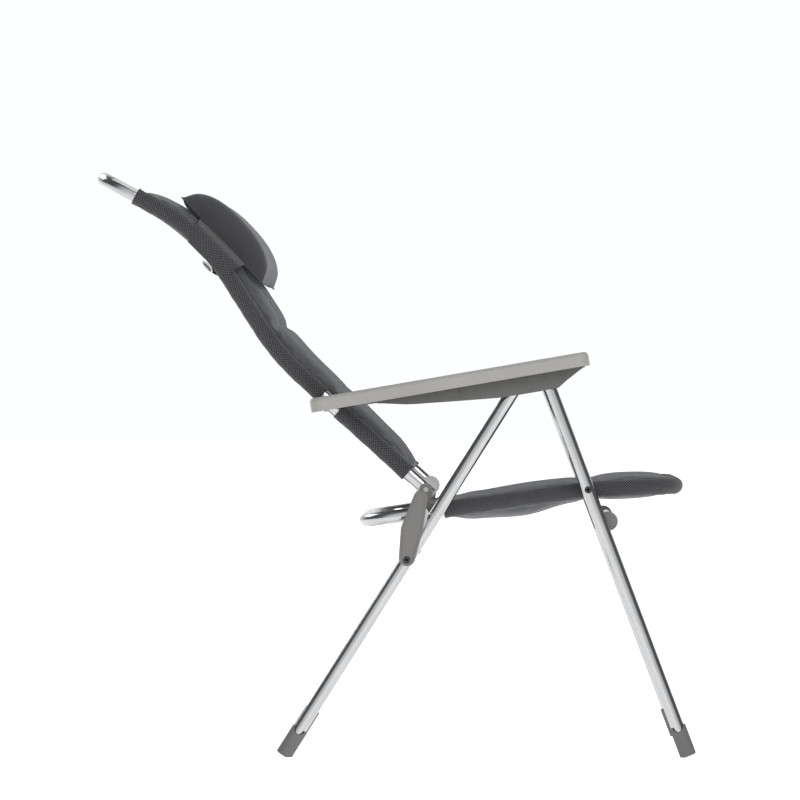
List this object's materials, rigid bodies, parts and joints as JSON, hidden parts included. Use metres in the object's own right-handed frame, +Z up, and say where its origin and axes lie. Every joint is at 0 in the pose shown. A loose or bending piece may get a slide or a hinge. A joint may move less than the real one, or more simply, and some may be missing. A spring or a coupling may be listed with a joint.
{
  "type": "folding camp chair",
  "caption": "Folding reclining camp chair with tube legs, padded mesh seat and back, hinged armrests with a notched rack, oval side plates and a sliding head pillow.",
  "frame": {"origin": "on the floor under the middle of the chair's overall length and width", "axes": "+X the way the sitter faces, +Y the sitter's left, +Z up"},
  "size_m": [0.9883, 0.6304, 0.963],
  "materials": {
    "tube": "bright anodised tube",
    "steel": "zinc plated",
    "screw": "black screw heads",
    "armrest_plastic": "light warm grey, fine moulded grain",
    "casing_plastic": "dark grey, fine moulded grain",
    "plate_plastic": "mid grey moulded plastic",
    "plug_plastic": "dark grey plug",
    "boot_rubber": "grey rubber",
    "panel_fabric": "charcoal quilted cloth",
    "mesh_fabric": "charcoal spacer mesh"
  },
  "bodies": {
    "seat": {"seat_frame": "tube", "seat_hinge_bracket_left": "casing_plastic", "seat_hinge_bracket_right": "casing_plastic", "seat_rear_bolts": "steel", "seat_sleeve": "mesh_fabric", "seat_pad": "panel_fabric"},
    "front_legs": {"front_leg_tube_left": "tube", "front_leg_tube_right": "tube", "front_boot_left": "boot_rubber", "front_boot_right": "boot_rubber", "front_leg_top_plugs": "plug_plastic", "front_stretcher": "tube", "front_bracket_left": "casing_plastic", "front_bracket_right": "casing_plastic", "seat_pivot_bolts": "screw"},
    "top_links": {"leg_top_links": "steel", "rear_leg_top_pins": "steel"},
    "rear_legs": {"rear_leg_tube_left": "tube", "rear_leg_tube_right": "tube", "rear_boot_left": "boot_rubber", "rear_boot_right": "boot_rubber", "rear_leg_top_plugs": "plug_plastic", "rear_stretcher": "tube"},
    "side_plates": {"side_cover_left": "plate_plastic", "side_cover_right": "plate_plastic", "side_link_left": "steel", "side_link_right": "steel", "rear_leg_bolts": "screw", "seat_link_pins": "steel"},
    "armrest_pins": {"armrest_pivot_pins": "steel"},
    "armrests": {"armrest_shell_left": "armrest_plastic", "armrest_shell_right": "armrest_plastic", "armrest_casing_left": "casing_plastic", "armrest_casing_right": "casing_plastic", "armrest_rack_left": "casing_plastic", "armrest_rack_right": "casing_plastic", "armrest_screws": "screw"},
    "back_pins": {"back_pivot_pins": "steel"},
    "backrest": {"back_frame": "tube", "back_frame_plugs": "plug_plastic", "back_pad": "panel_fabric", "back_sleeve_upper_left": "mesh_fabric", "back_sleeve_upper_right": "mesh_fabric", "back_sleeve_lower_left": "mesh_fabric", "back_sleeve_lower_right": "mesh_fabric", "armrest_studs": "screw"},
    "pillow": {"head_pillow": "panel_fabric", "pillow_wings": "mesh_fabric"}
  },
  "joints": [
    {"name": "fold", "type": "hinge", "parent": "seat", "child": "front_legs", "pos_m": [0.3183, 0, 0.4385], "axis": [0, 1, 0], "range_deg": [0, 92.56]},
    {"name": "top_link_turn", "type": "hinge", "parent": "front_legs", "child": "top_links", "pos_m": [0.25176, 0, 0.61497], "axis": [0, -1, 0], "range_deg": [0, 75.88]},
    {"name": "rear_leg_turn", "type": "hinge", "parent": "top_links", "child": "rear_legs", "pos_m": [0.20108, 0, 0.60839], "axis": [0, 1, 0], "range_deg": [0, 22.96]},
    {"name": "side_plate_turn", "type": "hinge", "parent": "rear_legs", "child": "side_plates", "pos_m": [0.02147, 0, 0.32383], "axis": [0, -1, 0], "range_deg": [0, 148.56]},
    {"name": "armrest_fold", "type": "hinge", "parent": "front_legs", "child": "armrest_pins", "pos_m": [0.25176, 0, 0.61497], "axis": [0, -1, 0], "range_deg": [0, 94.96]},
    {"name": "armrest_tilt", "type": "hinge", "parent": "armrest_pins", "child": "armrests", "pos_m": [0.25176, 0, 0.61497], "axis": [0, 1, 0], "range_deg": [0, 8.9]},
    {"name": "back_fold", "type": "hinge", "parent": "seat", "child": "back_pins", "pos_m": [0.05201, 0, 0.4382], "axis": [0, 1, 0], "range_deg": [0, 90.55]},
    {"name": "recline", "type": "hinge", "parent": "back_pins", "child": "backrest", "pos_m": [0.05201, 0, 0.4382], "axis": [0, 1, 0], "range_deg": [0, 30]},
    {"name": "pillow_height", "type": "slide", "parent": "backrest", "child": "pillow", "axis": [-0.7071, 0, 0.7071], "range_m": [-0.02, 0.025]}
  ],
  "couplings": [
    {"joint": "top_link_turn", "follows": "fold", "ratio": 0.8198},
    {"joint": "rear_leg_turn", "follows": "fold", "ratio": 0.24806},
    {"joint": "side_plate_turn", "follows": "fold", "ratio": 1.605},
    {"joint": "armrest_fold", "follows": "fold", "ratio": 1.0259},
    {"joint": "back_fold", "follows": "fold", "ratio": 0.97827},
    {"joint": "armrest_tilt", "follows": "recline", "ratio": 0.29667}
  ]
}
